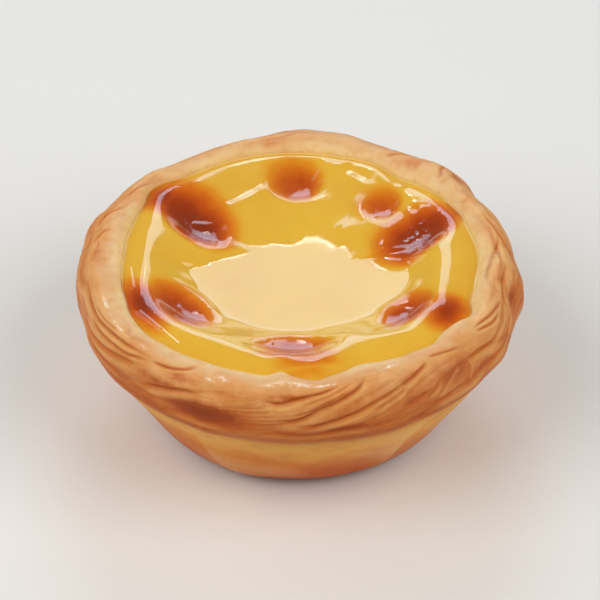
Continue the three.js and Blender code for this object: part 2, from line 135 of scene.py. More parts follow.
# Folds between the pastry's layers: half width and depth of the crease, and places along it. A fold with a
# negative depth is a ridge.
FOLDS = [
    (0.5, 0.6, [(-85, 8.5), (-78, 8.3), (-71, 8.5), (-64, 8.5), (-56, 7.9), (-48, 7.1), (-40, 6.7)]),
    (0.42, 0.5, [(-70, 9.5), (-62, 9.8), (-55, 9.5), (-48, 8.8), (-41, 7.3)]),
    (0.6, 0.7, [(-73, 11.6), (-66, 12.0), (-58, 11.4), (-50, 10.3), (-44, 9.4)]),
    (0.45, 0.5, [(-84, 11.0), (-76, 12.6), (-67, 13.4), (-58, 13.4), (-47, 13.0)]),
    (0.4, 0.5, [(-42, 7.3), (-36, 6.7), (-31, 5.4), (-28, 3.8)]),
    (0.35, 0.22, [(-69, 7.5), (-64, 7.4), (-59, 7.0), (-54, 6.3)]),
    (0.5, 0.6, [(-43, 12.0), (-37, 10.9), (-31, 10.0), (-24, 9.1)]),
    (0.4, 0.22, [(-36, 13.9), (-29, 13.4), (-22, 13.2), (-14, 13.9)]),
    (0.5, 0.6, [(-10, 8.2), (-5, 9.1), (0, 8.0), (6, 6.8), (12, 5.2)]),
    (0.28, 0.28, [(0, 9.5), (5, 8.3), (10, 7.1), (15, 5.3)]),
    (0.26, 0.28, [(-3, 11.2), (3, 10.0), (9, 8.5), (15, 6.8)]),
    (0.48, 0.65, [(-7, 11.6), (-1, 11.6), (5, 10.1), (11, 8.6), (16, 6.7), (19, 4.2)]),
    (0.42, 0.55, [(-3, 12.4), (4, 12.5), (11, 11.6), (18, 10.1), (24, 8.9), (29, 7.8)]),
    (0.5, 0.34, [(-10, 13.1), (-3, 13.8), (5, 13.9), (13, 13.2), (20, 12.4)]),
    (0.45, 0.5, [(26, 8.6), (31, 7.5), (37, 5.7)]),
    (0.36, 0.36, [(18, 11.2), (23, 10.1), (29, 8.9)]),
    (0.26, 0.28, [(35, 12.8), (39, 11.0), (42, 9.7), (44.5, 8.7)]),
    (0.26, 0.28, [(33, 12.0), (36, 10.9), (39, 8.9)]),
    (0.34, 0.4, [(36, 14.0), (42, 12.6), (46, 12.2), (48, 10.1), (47, 8.5)]),
    (0.55, 0.75, [(33, 13.8), (40, 12.9), (48, 12.7), (57, 12.0)]),
    (0.5, 0.7, [(46, 8.4), (52, 9.2), (59, 9.6), (64, 8.4), (69, 7.5)]),
    (0.4, 0.4, [(37, 4.7), (42, 5.2), (49, 6.2)]),
    (0.38, 0.45, [(55, 6.0), (61, 6.6), (67, 7.1)]),
    (0.5, 0.65, [(50, 12.8), (60, 12.3), (69, 11.4), (74, 9.3), (78, 6.9)]),
    (0.34, 0.35, [(61, 8.9), (66, 8.9), (70, 7.9), (73, 6.3)]),
    (0.7, -0.35, [(75, 3.6), (81, 3.9), (88, 5.2)]),
    (0.6, 0.35, [(78, 5.2), (86, 4.4), (93, 4.0)]),
    (0.3, 0.3, [(81, 8.6), (83, 8.0), (85, 7.3)]),
    (0.35, 0.3, [(98, 10.0), (100, 6.6), (104, 5.2)]),
    (0.35, 0.35, [(95, 7.8), (102, 7.1), (110, 5.8)]),
    (0.35, 0.35, [(94, 9.0), (102, 8.4), (112, 6.6)]),
    (0.6, 0.25, [(88, 4.2), (99, 3.8), (113, 2.2)]),
    (0.4, 0.3, [(128, 7.2), (133, 6.2), (140, 7.0)]),
    (0.4, 0.3, [(139, 7.2), (144, 5.4), (151, 4.8)]),
    (0.35, 0.2, [(-131, 2.2), (-126, 3.0), (-121, 4.9)]),
    (0.5, 0.12, [(-111, 2.6), (-106, 3.6), (-102, 5.8)]),
    (0.4, 0.22, [(-97, 6.0), (-93, 5.4), (-88, 6.2)]),
    (0.9, -0.3, [(94, 6.4), (90, 5.2), (84, 4.0), (77, 4.0)]),
    (0.45, 0.45, [(98, 5.6), (94, 4.4), (87, 2.8), (80, 2.6), (75, 3.2)]),
    (0.9, -0.3, [(55, 4.2), (61, 3.6), (66, 4.4), (71, 5.6)]),
    (0.45, 0.45, [(55, 5.4), (61, 5.0), (66, 6.1), (71, 7.2)]),
    (0.4, 0.4, [(110, 4.0), (103, 4.8), (97, 6.3), (92, 7.6)]),
    (0.4, 0.35, [(87, 5.0), (80, 5.8), (74, 7.2), (70, 8.9)]),
    (0.35, 0.25, [(121, 0.8), (118, 1.5), (116, 2.6), (117, 4.2)]),
    (0.4, 0.35, [(-117, 5.2), (-121, 4.2), (-125, 2.6), (-129, 1.2)]),
    (0.4, 0.3, [(-102, 6.8), (-106, 5.8), (-110, 4.6), (-114, 2.8)]),
    (0.4, 0.3, [(-95, 7.0), (-99, 5.4), (-102, 3.0)]),
    (0.5, 0.3, [(151, 2.2), (148, 4.6), (144, 6.5)]),
    (0.5, 0.3, [(129, 2.2), (133, 4.6), (134, 7.3)]),
    (0.5, 0.25, [(-180, 4.4), (-174, 2.9), (-168, 3.2)]),
    (0.45, 0.3, [(-166, 6.4), (-158, 5.2), (-150, 4.6)]),
]
# The hidden back of the outer face repeats the front's folds that lie lower than this, between these angles
BACK_FOLDS_FROM = 6.2
BACK_FOLDS_WITHIN = 62
FOLD_STEPS = 12  # points of a fold's curve from each of its places to the next
FOLD_REACH = 4.0  # how far from its curve a fold changes the rim

# Hollows and browned places of the rim: angle, distance, half sizes round and down the rim, depth, browning
HOLLOWS = [
    (-24, 12.0, 7.5, 1.7, 0.35, 1.0), (-17, 12.6, 5.4, 1.5, 0.0, 0.6),
    (-37, 10.1, 5.5, 1.2, 0.2, 0.55), (-20, 8.2, 3.5, 1.1, 0.15, 0.3),
    (-32, 7.4, 4.0, 1.6, 0.0, 0.42), (-22, 6.9, 3.0, 1.0, 0.0, 0.25),
    (-64, 9.7, 5.5, 0.8, 0.05, 0.1), (-72, 12.6, 5.0, 1.4, 0.15, 0.45),
    (-86, 4.6, 3.0, 1.2, 0.1, 0.2), (-96, 5.6, 2.6, 1.5, 0.12, 0.2),
    (-89, 5.2, 4.4, 2.0, 0.0, 0.36), (-110, 5.6, 4.0, 1.2, 0.15, 0.35),
    (-171, 1.6, 2.6, 0.9, 0.08, 0.5), (177, 2.2, 1.8, 0.9, 0.05, 0.3),
    (142, 3.2, 1.6, 1.3, 0.1, 0.35), (128, 6.0, 3.0, 1.8, 0.2, 0.5),
    (117, 4.6, 2.0, 1.2, 0.12, 0.3), (92, 4.2, 2.5, 1.1, 0.25, 0.3),
    (79, 5.5, 2.0, 1.4, 0.25, 0.5), (78, 10.2, 2.7, 2.2, 0.8, 0.6),
    (66, 12.8, 5.0, 1.2, 0.1, 0.6), (53, 12.2, 6.0, 1.2, 0.15, 0.5),
    (30, 7.4, 3.0, 1.2, 0.12, 0.35), (12, 13.3, 10.0, 0.8, 0.15, 0.7),
    (-2, 8.0, 5.0, 0.9, 0.1, 0.55), (10, 9.6, 8.0, 2.6, 0.0, 0.4),
    (42, 9.4, 7.0, 3.0, 0.0, 0.5), (30, 11.2, 7.0, 2.2, 0.0, 0.45),
]

# Glazed places on the rim's crest, with a glossy coat and a painted glint, a pale painted highlight in the
# colour: angle, distance, half sizes round and down the rim
GLAZES_AND_PAINTED_GLINTS = [
    (-21, 4.9, 1.0, 0.5), (-23.5, 5.8, 0.8, 0.3), (-6, 5.2, 2.0, 0.45),
    (0, 4.6, 2.6, 0.35), (7, 4.8, 2.0, 0.35), (26, 3.8, 1.4, 0.4),
    (-46, 5.4, 0.9, 0.4), (-57, 5.6, 2.4, 0.35), (-66, 5.2, 1.8, 0.35),
]

# How steeply the fine strands run down the rim's face towards +X: angle, slope
STRAND_SLOPES = [
    (-180, 0.05), (-150, 0.2), (-115, 0.35), (-88, 0.1), (-66, -0.12), (-45, -0.28), (-15, -0.2),
    (10, -0.42), (40, -0.4), (50, 0.0), (62, 0.12), (74, -0.4), (90, -0.2), (115, -0.25),
    (140, 0.1), (180, 0.05),
]
STRAND_PITCH = 2.6
STRAND_HEIGHT = 0.5
THREAD_PITCH = 0.8
THREAD_HEIGHT = 0.17

# Heights of the crust's other relief
SWELL_HEIGHT = 0.18
FINE_SWELL_HEIGHT = 0.072
WRINKLE_HEIGHT = 0.1
LUMP_HEIGHT = 0.2
VEIN_DEPTH = 0.22
VEIN_BANK_HEIGHT = 0.1
GLAZE_HEIGHT = 0.12
WALL_LUMP_HEIGHT = 0.3

# Seams down the cup's wall: angle at the groove and at the base's corner, and the step's height, which is
# negative where the side towards -X stands higher
WALL_SEAMS = [
    (-31, -22, 0.3), (36, 30, -0.35), (104, 112, 0.3), (-98, -106, -0.3),
    (172, 163, 0.3), (-148, -157, 0.3),
]

# The custard's section: the share of its radius where its ring stands highest, by angle
RING_SHARES = [
    (-180, 0.945), (-159, 0.945), (-125, 0.885), (-95, 0.87), (-69, 0.87), (-53, 0.86), (-30, 0.84),
    (-5, 0.885), (11, 0.86), (27, 0.81), (49, 0.85), (64, 0.83), (95, 0.82), (110, 0.87),
    (125, 0.91), (136, 0.885), (154, 0.945), (166, 0.945), (180, 0.945),
]
# How far from the axis its sunken middle begins to rise, by angle
BASIN_RADII = [
    (-180, 8.0), (-168, 7.6), (-143, 9.4), (-125, 12.0), (-112, 13.6), (-104, 14.8), (-98, 16.4),
    (-91, 19.6), (-77, 18.3), (-58, 17.3), (-38, 17.2), (-20, 17.2), (0, 16.8), (15, 16.7),
    (35, 17.0), (49, 17.2), (71, 19.3), (84, 20.0), (92, 19.8), (99, 18.6), (104, 16.0),
    (108, 11.6), (112, 10.4), (122, 10.6), (135, 11.8), (147, 10.6), (160, 9.8), (171, 9.3),
    (180, 8.0),
]
# How round the ring's top is, as a share of its way to the edge, by angle
RING_ROUNDINGS = [
    (-180, 0.25), (-140, 0.25), (-127, 0.5), (-118, 0.45), (-109, 0.2), (-96, 0.2), (-82, 0.4),
    (-68, 0.4), (-50, 0.24), (-8, 0.24), (6, 0.4), (12, 0.9), (22, 0.9), (30, 0.15), (42, 0.08),
    (54, 0.35), (95, 0.55), (112, 0.9), (134, 1.0), (146, 0.12), (155, 0.35), (167, 0.3),
    (180, 0.25),
]
# How much it stands above the edge, as a share of its way to it, by angle
RING_LIFTS = [
    (-180, 0.3), (-142, 0.3), (-128, 0.16), (-30, 0.16), (-8, 0.25), (10, 0.25), (28, 0.16),
    (136, 0.16), (146, 0.3), (180, 0.3),
]
# How softly the sunken middle's floor turns into the slope round it, by angle
BASIN_ROUNDINGS = [
    (-180, 0.08), (-100, 0.1), (-60, 0.3), (60, 0.3), (100, 0.1), (130, 0.1), (138, 0.3),
    (170, 0.3), (180, 0.08),
]

# Small ridges of the custard: X and Y of both ends, half width, height
RIPPLES = [
    (-18.6, 12.9, -15.2, 13.1, 0.7, 0.22), (-14.8, 15.2, -12.9, 15.5, 0.8, 0.1),
    (-12.2, 17.1, -6.8, 21.4, 0.9, 0.16), (-16.4, 4.6, -10.6, 6.4, 1.2, 0.22),
    (7.0, 28.0, 8.8, 28.8, 0.8, 0.12), (9.4, 25.2, 12.6, 22.6, 1.0, 0.12),
    (8.8, 10.6, 16.0, 10.8, 2.6, 0.42), (17.6, 14.0, 18.8, 17.2, 0.6, 0.14),
    (3.0, 25.4, 5.4, 28.6, 0.8, 0.16), (17.4, 18.6, 19.3, 21.8, 0.8, 0.16),
    (-28.0, -14.9, -24.1, -19.8, 0.36, 0.15), (-24.1, -19.8, -20.8, -23.6, 0.36, 0.15),
    (-30.2, -2.6, -29.4, -8.4, 0.32, 0.11), (13.1, -25.4, 17.5, -24.1, 0.35, 0.045),
    (17.5, -24.1, 21.7, -22.4, 0.35, 0.045),
]

# Blistered places: X, Y, radius, height
BLISTER_CELL = 0.8
BLISTERS = [
    (-21.4, -9.4, 1.7, 0.12), (-4.6, -21.8, 1.7, 0.06), (20.4, 7.4, 2.4, 0.09),
    (21.8, 13.2, 2.6, 0.26), (18.8, -12.2, 1.8, 0.07), (-17.6, 10.0, 1.2, 0.04),
    (15.6, 15.8, 1.2, 0.05),
]

# The seven caramelised dents: place, half sizes across and along the radius, turn of those, depth, how
# steeply the bottom rises and towards which angle, how flat it is, height of the lip on its inner side, fine
# folds on its outer side, browning, its size beside the dent's, how much farther it reaches outwards, and
# the angle towards which it fades
DENT_FOLD_PITCH = 0.62
DENTS = [
    dict(angle=-125.7, radius=23.6, across=4.6, along=7.8, turn=-16, depth=1.5, slope=0.2, rise=-142,
         flat=3.2, lip=0.35, folds=0, burn=0.94, char=1.12, outer=1.1, soft=143),
    dict(angle=-178.4, radius=24.4, across=4.9, along=5.1, turn=0, depth=1.3, slope=0.24, rise=-132,
         flat=3, lip=0.35, folds=0, burn=0.55, char=1.05, outer=1, soft=-150),
    dict(angle=138.7, radius=22.8, across=3.9, along=3.9, turn=0, depth=1, slope=0.18, rise=-150,
         flat=3, lip=0.08, folds=0, burn=0.52, char=1.05, outer=1, soft=-150),
    dict(angle=111.6, radius=23.2, across=4.3, along=7, turn=22, depth=1.4, slope=0.12, rise=150,
         flat=3.2, lip=0.35, folds=0, burn=0.88, char=1.16, outer=1.15, soft=-127),
    dict(angle=56, radius=22.4, across=5.4, along=2.9, turn=-4, depth=1, slope=0.1, rise=175,
         flat=2.4, lip=0.3, folds=0.03, burn=0.64, char=1, outer=1.7, soft=-150),
    dict(angle=-3, radius=22.3, across=6, along=2.9, turn=4, depth=0.8, slope=0.09, rise=-34,
         flat=2.4, lip=0.25, folds=0.03, burn=0.58, char=1, outer=1.4, soft=170),
    dict(angle=-61, radius=23.4, across=6.8, along=3.7, turn=14, depth=1.2, slope=0.2, rise=-108,
         flat=2.4, lip=0.35, folds=0, burn=0.66, char=1, outer=1.7, soft=150),
]

# Browned places outside four of the dents: angle, radius, half sizes across and along the radius, browning
TINTS = [
    (-127, 31.2, 4.4, 3.0, 0.76), (60, 30.0, 4.4, 3.2, 0.76),
    (-1, 26.4, 6.4, 1.8, 0.55), (3, 28.6, 5.5, 1.8, 0.4), (3, 31.0, 6.0, 2.0, 0.2),
    (-64.5, 30.2, 6.4, 2.8, 0.9),
]

# Colours of the crust over the rim, whose face lies between 0.25 and 0.5, and down the wall to the base.
# Besides
# the baked tone they hold painted light: the lip's edge lightened against the shade where it meets the
# custard, the lit top paler, and the shaded underside and the foot darker.
PASTRY_COLOURS_AND_LIGHT = [
    (0.0, "#f4cc80"), (0.03, "#f2d090"), (0.14, "#e8c48e"), (0.21, "#dfb27a"), (0.3, "#d9a063"),
    (0.38, "#cf8642"), (0.45, "#c46c28"), (0.52, "#b4581a"), (0.58, "#c0681c"), (0.625, "#d89634"),
    (0.655, "#e8a438"), (0.7, "#d67a18"), (0.745, "#c65a0c"), (0.82, "#a64308"), (1.0, "#8a3206"),
]
# Colours of its browned places and of the custard's, from little to much heat
TOAST_COLOURS = [(0.1, "#dc9048"), (0.35, "#c4682a"), (0.6, "#a04516"), (0.95, "#8a3410")]
SCORCH_COLOURS = [
    (0.06, "#dfa62a"), (0.18, "#dc901c"), (0.34, "#d26f10"),
    (0.52, "#bf500a"), (0.72, "#a03807"), (1.0, "#802806"),
]

# The studio, in metres and degrees
FLOOR_HALF = 2.0
CAMERA_TARGET = (0.00025, 0, 0.02073)
CAMERA_ELEVATION = 39.5
CAMERA_DISTANCE = 0.45
LENS_LENGTH = 148.2  # millimetres, like the sensor's width
SENSOR_WIDTH = 36
LIGHT_TARGET = (0, 0, 0.028)
WATTS_PER_RADIANCE = 4  # for each square metre of a light
WORLD_COLOUR = (1, 0.86, 0.7, 1)
WORLD_STRENGTH = 0.22
FLOOR_COLOUR = (0.78, 0.77, 0.75, 1)
# Lights: name, azimuth from the back, elevation, distance, size, radiance, colour
STUDIO_LIGHTS = [
    ("back_softbox", 0, 30.5, 0.6, (0.24, 0.28), 2.6, (0.72, 1, 1.25)),
    ("back_glow", 0, 9.8, 0.8, (0.7, 0.115), 1.2, (1, 1, 0.85)),
    ("back_strip", -1.5, 45.1, 0.6, (0.055, 0.03), 12.5, (0.95, 1, 1.02)),
    ("back_gleam", 4.4, 39.3, 0.59, (0.034, 0.03), 0.4, (1, 1, 1)),
    ("left_rim", -58, 34, 0.8, (0.4, 0.4), 0.9, (1, 1, 1)),
    ("left_fill", -115, 42, 0.8, (0.6, 0.6), 2.65, (1, 1, 1)),
    ("right_fill", 115, 42, 0.8, (0.6, 0.6), 2.6, (1, 1, 1)),
]


def smoothstep(low, high, x):
    t = np.clip((x - low) / (high - low), 0, 1)
    return t * t * (3 - 2 * t)


def bell(x, width=1.0):
    """1 in the middle, and nearly 0 two widths away."""
    return np.exp(-((x / width) ** 2))


def draw(i, j):
    """A repeatable draw from 0 to 1 for a lattice point."""
    x = np.sin(i * 127.1 + j * 311.7) * 43758.5453
    return x - np.floor(x)


def noise(u, v, period=1000):
    """Smooth noise from -1 to 1 that repeats every period cells of u."""
    i = np.floor(u)
    j = np.floor(v)
    a = smoothstep(0, 1, u - i)
    b = smoothstep(0, 1, v - j)
    near = np.mod(i, period)
    far = np.mod(i + 1, period)
    low = draw(near, j) * (1 - a) + draw(far, j) * a
    high = draw(near, j + 1) * (1 - a) + draw(far, j + 1) * a
    return 2 * (low * (1 - b) + high * b) - 1


def round_noise(angle, across, cell):
    """Noise round the tart, with cells about `cell` millimetres long at the rim.

    What the callers add to `across`, or to both places in `noise`, gives each of them a noise of its own.
    """
    period = round(2 * math.pi * RIM_RADIUS / cell)
    return noise(angle / 360 * period, across, period)


def unevenness(rows, angle):
    return sum(height * round_noise(angle, row, cell) for height, row, cell in rows)


def turn_between(a, b):
    return np.mod(a - b + 540, 360) - 180


def bumps(rows, angle, column):
    """The sum of a table's bumps: a row starts with angle and half width, and the column holds the height."""
    return sum(row[column] * bell(turn_between(angle, row[0]), row[1]) for row in rows)


def by_angle(rows, angle):
    """A value that changes smoothly between the angles that a table names."""
    value = np.zeros_like(angle)
    for (start, low), (end, high) in zip(rows, rows[1:]):
        inside = (angle >= start) & (angle <= end)
        value[inside] = low + (high - low) * smoothstep(start, end, angle[inside])
    return value


def angles_round(count):
    return -180 + np.arange(count) * 360 / count


def strand_shifts(angle):
    """How far the strands have moved down the rim's face at each angle, back to none after a whole turn."""
    step = angle[1] - angle[0]
    slope = by_angle(STRAND_SLOPES, angle + step / 2)
    shifts = np.concatenate([[0], np.cumsum(slope * step * MM_PER_DEGREE)])
    return (shifts - shifts[-1] * np.arange(len(shifts)) / len(angle))[:-1]


def custard_edge(angle):
    r = CUSTARD_RADIUS + bumps(EDGE_WAVES, angle, 2) + unevenness(EDGE_RADIUS_NOISE, angle)
    z = CUSTARD_EDGE_HEIGHT + unevenness(EDGE_HEIGHT_NOISE, angle)
    return r, z


class Section:
    """The crust's section at every angle, as arrays with a row for each angle and a column for each point."""

    def __init__(self, angle):
        self.count = len(angle)
        self.stretches = []

    def add(self, *columns):
        """Adds radius, height, both parts of the normal, share of strands and of wall, and how far down."""
        shape = (self.count, len(columns[-1]))
        self.stretches.append([np.broadcast_to(column, shape) for column in columns])

    def quarter(self, centre, size, turn, rows, strands, down):
        """A stretch of an ellipse, from one of its angles to another."""
        share = np.arange(1, rows + 1) / rows
        t = np.radians(turn[0] + (turn[1] - turn[0]) * share)
        c, s = np.cos(t), np.sin(t)
        centre_r, centre_z, width, height = (value[:, None] for value in (*centre, *size))
        nr, nz = c / width, s / height
        length = np.hypot(nr, nz)
        r, z = centre_r + width * c, centre_z + height * s
        on = down[0] + (down[1] - down[0]) * share
        self.add(r, z, nr / length, nz / length, strands(share), 0.0, on)

    def arrays(self):
        return [np.concatenate(parts, axis=1) for parts in zip(*self.stretches)]


# How strongly the strands show, along each stretch of the rim
def no_strands(share):
    return 0 * share


def strands_on_face(share):
    return smoothstep(0.12, 0.5, share) * (1 - 0.65 * smoothstep(0.7, 1, share))


def strands_into_groove(share):
    return 0.35 * (1 - smoothstep(0.2, 0.9, share))


def add_wall(section, groove_r):
    """The cup's straight wall, and the round corner under it."""
    steep = math.atan2(1, WALL_SLOPE)
    nr, nz = math.sin(steep), -math.cos(steep)
    share = np.arange(WALL_ROWS) / WALL_ROWS
    top_r, top_z = (groove_r - WALL_TOP_INSET)[:, None], GROOVE_HEIGHT - WALL_TOP_DROP
    bottom_r, bottom_z = BASE_FLAT_RADIUS + BASE_CORNER * nr, BASE_CORNER + BASE_CORNER * nz
    r = top_r + (bottom_r - top_r) * share
    z = top_z + (bottom_z - top_z) * share
    down = WALL_START + (CORNER_START - WALL_START) * share
    section.add(r, z, nr, nz, 0.0, smoothstep(-0.3, 0.5, share), down)

    start = math.atan2(nz, nr)
    share = np.arange(CORNER_ROWS + 1) / CORNER_ROWS
    t = start + (-math.pi / 2 - start) * share
    r = BASE_FLAT_RADIUS + BASE_CORNER * np.cos(t)
    z = BASE_CORNER + BASE_CORNER * np.sin(t)
    down = CORNER_START + (CORNER_END - CORNER_START) * share
    section.add(r, z, np.cos(t), np.sin(t), 0.0, 1 - smoothstep(0, 0.8, share), down)


def outer_section(angle):
    """The crust's outside from the custard's edge to the base, before its relief."""
    edge_r, edge_z = custard_edge(angle)
    lean = bumps(RIM_LOBES, angle, 2) + unevenness(LEAN_NOISE, angle)
    lift = bumps(RIM_LOBES, angle, 3) + unevenness(LIFT_NOISE, angle)
    # The crest follows half of what moves the rim and the custard's edge, and the groove a quarter
    crest_r = CREST_RADIUS + by_angle(CREST_SHIFTS, angle) + 0.5 * (lean + edge_r - CUSTARD_RADIUS)
    crest_z = CREST_HEIGHT + lift
    widest_r = RIM_RADIUS + lean
    widest_z = RIM_WIDEST_HEIGHT + 0.5 * lift
    groove_r = WALL_FOOT_RADIUS + WALL_SLOPE * GROOVE_HEIGHT + 0.25 * lean
    under_r = groove_r - UNDER_INSET

    section = Section(angle)
    lip_size = (crest_r - edge_r, crest_z - edge_z)
    section.quarter((crest_r, edge_z), lip_size, (180, 90), LIP_ROWS, no_strands, (0, 1))
    face_size = (widest_r - crest_r, crest_z - widest_z)
    section.quarter((crest_r, widest_z), face_size, (90, 0), FACE_ROWS, strands_on_face, (1, 2))
    under_size = (widest_r - under_r, widest_z - GROOVE_HEIGHT)
    turn, down = (0, UNDER_END_ANGLE), (2, UNDER_END)
    section.quarter((under_r, widest_z), under_size, turn, UNDER_ROWS, strands_into_groove, down)
    add_wall(section, groove_r)
    return section.arrays()


def inner_section(angle):
    """The hidden face between custard and pastry, from the floor up to the custard's edge."""
    edge_r, edge_z = custard_edge(angle)
    places = [(np.full_like(angle, r), np.full_like(angle, z)) for r, z in INNER_FACE]
    places.append((edge_r + INNER_TOP_OUT, edge_z - INNER_TOP_DROP))
    return [np.stack(values, axis=1) for values in zip(*places)]


def fold_points(places, turn):
    """Points along a smooth curve through a fold's places, in millimetres round and down the rim."""
    knots = np.array([((angle + turn) * MM_PER_DEGREE, distance) for angle, distance in places])
    knots = np.concatenate([[2 * knots[0] - knots[1]], knots, [2 * knots[-1] - knots[-2]]])
    t = np.linspace(0, 1, FOLD_STEPS + 1)[:-1, None]
    pieces = []
    for a, b, c, d in zip(knots, knots[1:], knots[2:], knots[3:]):
        bend = 2 * a - 5 * b + 4 * c - d
        pieces.append(0.5 * (2 * b + (c - a) * t + bend * t**2 + (3 * b - a - 3 * c + d) * t**3))
    return np.concatenate(pieces + [knots[-2:-1]])


def all_folds():
    for fold in FOLDS:
        yield fold, 0
        hidden = min(distance for angle, distance in fold[2]) > BACK_FOLDS_FROM
        if hidden and all(abs(angle) < BACK_FOLDS_WITHIN for angle, distance in fold[2]):
            yield fold, 180


def beside_fold(points, x, s):
    """How far places lie below a fold's curve, before or past its nearest point, and which share along it."""
    closest = np.hypot(x[:, None] - points[:, 0], s[:, None] - points[:, 1]).argmin(axis=1)
    tangent = np.gradient(points, axis=0)
    tangent /= np.hypot(tangent[:, 0], tangent[:, 1])[:, None]
    tangent = tangent[closest]
    off_x, off_s = x - points[closest, 0], s - points[closest, 1]
    below = tangent[:, 0] * off_s - tangent[:, 1] * off_x
    past = tangent[:, 0] * off_x + tangent[:, 1] * off_s
    return below, past, closest / (len(points) - 1)


def crease_shape(gap, shoulder, softness):
    """A sharp crease that rises to a round shoulder, by the distance from it in half widths."""
    return (shoulder * (1 - np.exp(-gap / softness)) - 1) * bell(gap, 3.4)


def fold_relief(angle, down_rim):
    """The relief of all folds, how near each point is to a crease (painted shade), to its lower side (painted
    highlight) and to any fold.
    """
    relief, crease, pale, taken = (np.zeros_like(down_rim) for _ in range(4))
    for (half_width, depth, places), turn in all_folds():
        points = fold_points(places, turn)
        (left, top), (right, bottom) = points.min(axis=0), points.max(axis=0)
        middle = (left + right) / 2
        x = turn_between(angle, middle / MM_PER_DEGREE) * MM_PER_DEGREE
        near = np.abs(x) < (right - left) / 2 + FOLD_REACH
        near &= (down_rim > top - FOLD_REACH) & (down_rim < bottom + FOLD_REACH)
        below, past, along = beside_fold(points, x[near] + middle, down_rim[near])
        below = below / half_width
        gap = np.abs(below)
        fade = smoothstep(0, 0.25, along) * (1 - smoothstep(0.75, 1, along)) * bell(past, 0.5)
        if depth < 0:
            relief[near] -= depth * fade * bell(gap, 1.4)
            continue
        shape = np.where(below < 0, crease_shape(gap, 1.35, 0.5), crease_shape(gap, 1.25, 0.9))
        relief[near] += depth * fade * shape
        strength = fade * min(1, depth / 0.5)
        # Painted shade: how strongly the crease darkens the colour
        crease[near] = np.maximum(crease[near], strength * bell(below + 0.25, 0.85))
        # Painted highlight: the fold's lower side, which faces the light, is paled
        pale[near] = np.maximum(pale[near], strength * bell(below - 1.7, 0.9))
        taken[near] = np.maximum(taken[near], fade * bell(gap, 4))
    return relief, crease, pale, taken


def patch(angle, down_rim, middle, place, across, along):
    """How near each point is to a place on the rim."""
    return bell(turn_between(angle, middle) * MM_PER_DEGREE, across) * bell(down_rim - place, along)


def hollow_relief(angle, down_rim):
    relief = np.zeros_like(down_rim)
    toast = np.zeros_like(down_rim)
    for *place, depth, browning in HOLLOWS:
        shape = patch(angle, down_rim, *place)
        relief -= depth * shape
        toast = np.maximum(toast, browning * shape)
    return relief, toast


def glaze_and_painted_glint_cover(angle, down_rim):
    return np.max([patch(angle, down_rim, *place) for place in GLAZES_AND_PAINTED_GLINTS], axis=0)


def strand_relief(angle, down_rim, shifts):
    """Rounded strands with sharp creases between the folds, and finer threads on them."""
    level = down_rim * (0.55 + down_rim / 26) - shifts
    wander = 0.5 * round_noise(angle, level / 3, 12) + 0.2 * round_noise(angle, level / 1.7 + 40, 5)
    strand = np.abs(np.sin(math.pi * (level / STRAND_PITCH + wander)))
    strength = np.clip(0.45 + 0.9 * round_noise(angle, level / STRAND_PITCH + 80, 13), 0, 1)
    thread = np.abs(np.sin(math.pi * (level / THREAD_PITCH + 2.2 * wander)))
    thread_strength = np.clip(0.35 + 0.9 * round_noise(angle, level / 1.6 + 120, 9), 0, 1)
    relief = STRAND_HEIGHT * (strand - 0.64) * strength
    relief += THREAD_HEIGHT * (thread - 0.64) * thread_strength
    # How near each strand's and thread's crease is, for painted shade in the colour
    crease = np.maximum(strength * (1 - strand) ** 3, 0.6 * thread_strength * (1 - thread) ** 3)
    return relief, crease, level


def vein_relief(angle, down_rim):
    """Shallow creases that wander over the rim's top, along the zeros of a noise."""
    bend = 0.5 * round_noise(angle, down_rim / 3 + 60, 5)
    course = round_noise(angle, down_rim / 2.4 + bend + 50, 8)
    course = course + 0.25 * round_noise(angle, down_rim / 1.1 + 70, 3)
    strength = np.clip(0.5 + 1.2 * round_noise(angle, down_rim / 6 + 90, 9), 0, 1)
    groove = bell(course, 0.16)
    # The groove's second value darkens the colour: painted shade in the vein
    return strength * (VEIN_BANK_HEIGHT * bell(course, 0.5) - VEIN_DEPTH * groove), strength * groove


def wrinkle_relief(angle, down_rim):
    """The finest unevenness of the rim's top, stronger in some places than in others."""
    fine = round_noise(angle, down_rim / 2.6 + 17, 1.5) + 0.7 * round_noise(angle, down_rim / 1.2 + 27, 0.9)
    return WRINKLE_HEIGHT * fine * np.clip(0.6 + round_noise(angle, down_rim / 5 + 33, 8), 0.2, 1.4)


def wall_seams(angle, down):
    """Steps in the cup's wall where a layer ends, and their higher edges, paled as a painted highlight."""
    relief = np.zeros_like(angle)
    pale = np.zeros_like(angle)
    share = np.clip(down - WALL_START, 0, 1)
    on_wall = smoothstep(UNDER_END, 2.56, down) * (1 - smoothstep(3.2, CORNER_END, down))
    for top, bottom, height in WALL_SEAMS:
        x = turn_between(angle, top + (bottom - top) * share) * WALL_MM_PER_DEGREE * np.sign(height)
        x = x + 1.1 * noise(share * 2.6 + top, share * 0.9 + 40) + 0.35 * noise(share * 9 + top, share + 60)
        strength = on_wall * (0.7 + 0.5 * noise(share * 3.4 + top, share + 80))
        relief += 0.5 * abs(height) * strength * np.tanh(x / 0.5) * bell(x, 7)
        # Painted highlight: the step's higher side is paled just past its edge
        pale = np.maximum(pale, strength * bell(x - 0.6, 0.7))
    return relief, pale


